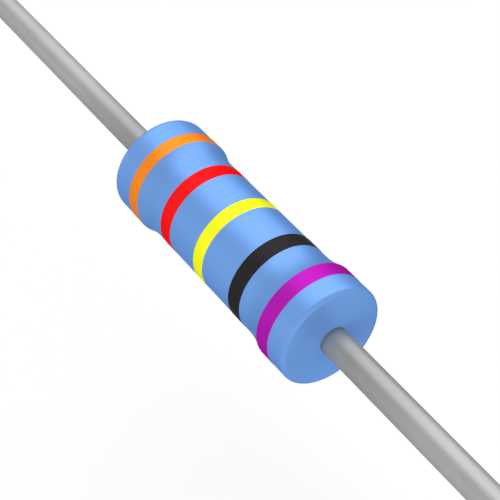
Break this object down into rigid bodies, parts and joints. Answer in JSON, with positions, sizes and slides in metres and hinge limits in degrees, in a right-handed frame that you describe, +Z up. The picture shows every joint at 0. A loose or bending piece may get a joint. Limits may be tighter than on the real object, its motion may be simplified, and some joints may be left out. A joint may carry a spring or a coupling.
{
  "type": "axial resistor",
  "caption": "Axial leaded film resistor: a blue lacquered dog-bone body with colour bands and a straight tinned wire out of each end.",
  "frame": {"origin": "middle of the lacquered body, on the axis of the wires", "axes": "+X along the wires, from the end with band 1 to the end with band 5; +Z up; the part is round about X"},
  "size_m": [0.0622, 0.0024, 0.0024],
  "materials": {
    "lacquer": "dipped light blue lacquer, satin",
    "ceramic": "fired and ground, dull white",
    "film": "sputtered metal film, grey, with a laser-cut groove",
    "cap": "deep-drawn, tin plated",
    "lead": "drawn copper wire, matt tin plated",
    "ink_orange": "roller-printed ink, satin",
    "ink_red": "roller-printed ink, satin",
    "ink_yellow": "roller-printed ink, satin",
    "ink_black": "roller-printed ink, satin",
    "ink_violet": "roller-printed ink, satin"
  },
  "bodies": {
    "root": {"lacquer_coat": "lacquer", "ceramic_core": "ceramic", "resistive_film": "film", "left_end_cap": "cap", "right_end_cap": "cap", "left_lead": "lead", "right_lead": "lead", "band_1_orange": "ink_orange", "band_2_red": "ink_red", "band_3_yellow": "ink_yellow", "band_4_black": "ink_black", "band_5_violet": "ink_violet"}
  },
  "joints": []
}
